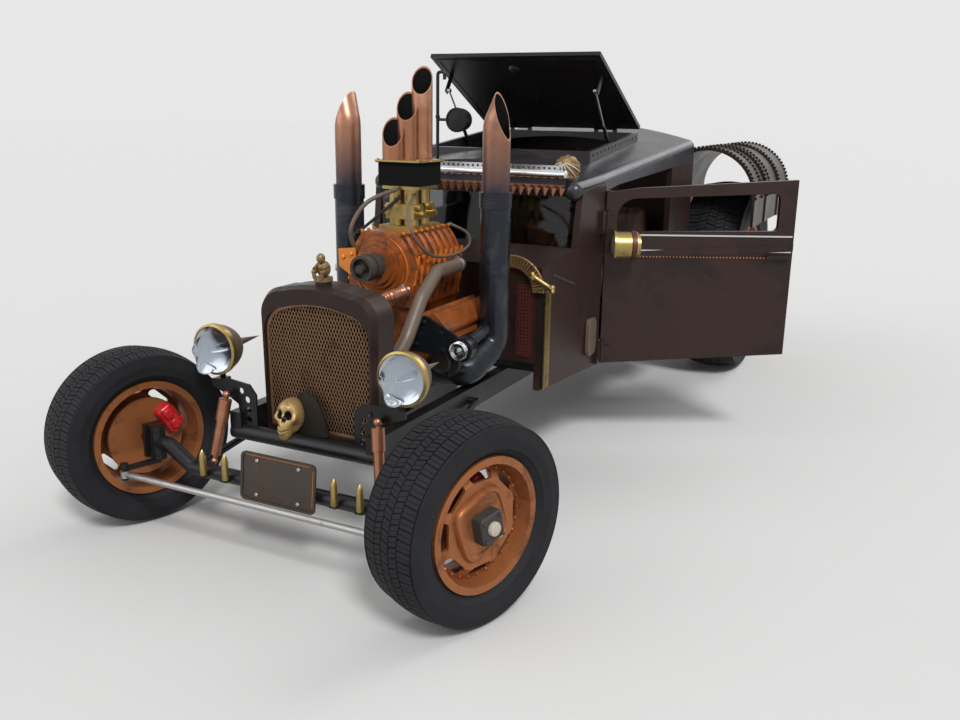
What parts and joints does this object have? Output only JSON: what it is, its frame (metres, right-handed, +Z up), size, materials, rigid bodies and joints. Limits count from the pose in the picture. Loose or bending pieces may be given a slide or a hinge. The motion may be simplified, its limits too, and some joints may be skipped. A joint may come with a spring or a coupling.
{
  "type": "rat rod truck",
  "caption": "Chopped, channelled rusty hot rod with an open supercharged engine, tall stacks, steered front wheels, opening doors and a roof hatch on gas struts.",
  "frame": {"origin": "middle of the whole car's box, on the ground under the tyres", "axes": "+X is the car's left, +Y points to the car's rear, +Z is up; the front faces -Y"},
  "size_m": [2.3456, 4.4656, 1.8348],
  "materials": {
    "frame_black": "satin",
    "body_brown": "satin rust brown",
    "shell_brown": "satin rust brown",
    "copper": "brushed copper",
    "brass_trim": "aged",
    "orange_rust": "rusty orange",
    "wheel_orange": "rusty orange",
    "tyre_black": "matt",
    "lens_glass": "clear",
    "pane_glass": "tinted",
    "lamp_red": "clear red",
    "caliper_red": "gloss",
    "bare_steel": "brushed",
    "cast_grey": "rough",
    "polished": "polished",
    "cloth_brown": "worn",
    "bone_gold": "aged gold",
    "plate_dark": "matt"
  },
  "bodies": {
    "chassis": {"frame": "frame_black", "front_axle": "frame_black", "front_shocks": "copper", "headlamp_shells": "body_brown", "headlamp_rings": "brass_trim", "headlamp_lenses": "lens_glass", "grille_shell": "shell_brown", "grille_mesh": "shell_brown", "radiator": "cast_grey", "skull_ornament": "bone_gold", "cap_figure": "bone_gold", "number_plate": "plate_dark", "axle_bullets": "brass_trim", "engine": "orange_rust", "blower": "orange_rust", "pulleys": "cast_grey", "carburettors": "brass_trim", "air_box": "frame_black", "intake_stacks": "copper", "exhaust_stacks": "frame_black", "exhaust_tips": "copper", "engine_hoses": "copper", "cowl": "body_brown", "cowl_trim": "brass_trim", "windscreen": "pane_glass", "visor": "polished", "roof": "body_brown", "roof_lamps": "bone_gold", "cab_rear": "body_brown", "cab_floor": "frame_black", "seats": "cloth_brown", "dashboard": "body_brown", "driveline": "cast_grey", "rear_axle": "frame_black", "rear_fenders": "shell_brown", "rear_bed": "body_brown", "tail_lamps": "lamp_red"},
    "door_left": {"door_left": "body_brown", "door_lamp_left": "brass_trim"},
    "door_right": {"door_right": "body_brown", "door_lamp_right": "brass_trim"},
    "roof_hatch": {"roof_hatch": "frame_black"},
    "strut_tubes": {"strut_tubes": "frame_black"},
    "strut_rods": {"strut_rods": "bare_steel"},
    "knuckle_left": {"knuckle_left": "frame_black", "caliper_left": "caliper_red"},
    "knuckle_right": {"knuckle_right": "frame_black", "caliper_right": "caliper_red"},
    "tie_rod": {"tie_rod": "bare_steel"},
    "front_wheel_left": {"wheel_front_left": "wheel_orange", "tyre_front_left": "tyre_black"},
    "front_wheel_right": {"wheel_front_right": "wheel_orange", "tyre_front_right": "tyre_black"},
    "rear_wheel_left": {"wheel_rear_left": "wheel_orange", "tyre_rear_left": "tyre_black"},
    "rear_wheel_right": {"wheel_rear_right": "wheel_orange", "tyre_rear_right": "tyre_black"}
  },
  "joints": [
    {"name": "steer_left", "type": "hinge", "parent": "chassis", "child": "knuckle_left", "pos_m": [0.42816, -1.84719, 0.336], "axis": [0, 0, -1], "range_deg": [-48, 14]},
    {"name": "steer_right", "type": "hinge", "parent": "chassis", "child": "knuckle_right", "pos_m": [-0.77184, -1.84719, 0.336], "axis": [0, 0, -1], "range_deg": [-48, 14]},
    {"name": "tie_rod_ball", "type": "hinge", "parent": "knuckle_left", "child": "tie_rod", "pos_m": [0.38489, -1.98034, 0.243], "axis": [0, 0, -1], "range_deg": [-14, 48]},
    {"name": "roll_front_left", "type": "hinge", "parent": "knuckle_left", "child": "front_wheel_left", "pos_m": [0.57081, -1.89354, 0.336], "axis": [0.9511, -0.309, 0], "continuous": true},
    {"name": "roll_front_right", "type": "hinge", "parent": "knuckle_right", "child": "front_wheel_right", "pos_m": [-0.9145, -1.80084, 0.336], "axis": [0.9511, -0.309, 0], "continuous": true},
    {"name": "roll_rear_left", "type": "hinge", "parent": "chassis", "child": "rear_wheel_left", "pos_m": [0.55816, 1.65281, 0.58], "axis": [1, 0, 0], "continuous": true},
    {"name": "roll_rear_right", "type": "hinge", "parent": "chassis", "child": "rear_wheel_right", "pos_m": [-0.90184, 1.65281, 0.58], "axis": [1, 0, 0], "continuous": true},
    {"name": "door_left_hinge", "type": "hinge", "parent": "chassis", "child": "door_left", "pos_m": [0.40754, -0.19718, 0.8], "axis": [0, 0, -1], "range_deg": [-59, 16]},
    {"name": "door_right_hinge", "type": "hinge", "parent": "chassis", "child": "door_right", "pos_m": [-0.75123, -0.19718, 0.8], "axis": [0, 0, 1], "range_deg": [0, 75]},
    {"name": "hatch_hinge", "type": "hinge", "parent": "chassis", "child": "roof_hatch", "pos_m": [-0.17184, 0.65281, 1.48148], "axis": [-1, 0, 0], "range_deg": [-33, 8]},
    {"name": "strut_pivot", "type": "hinge", "parent": "chassis", "child": "strut_tubes", "pos_m": [-0.17184, 0.42281, 1.25], "axis": [-1, 0, 0], "range_deg": [-41, 11]},
    {"name": "strut_slide", "type": "slide", "parent": "strut_tubes", "child": "strut_rods", "axis": [0, -0.6506, 0.7594], "range_m": [-0.1813, 0.0455]}
  ],
  "couplings": [
    {"joint": "steer_right", "follows": "steer_left", "ratio": 1},
    {"joint": "tie_rod_ball", "follows": "steer_left", "ratio": -1},
    {"joint": "strut_pivot", "follows": "hatch_hinge", "ratio": 1.1838},
    {"joint": "strut_slide", "follows": "hatch_hinge", "m_per_rad": 0.31139}
  ]
}
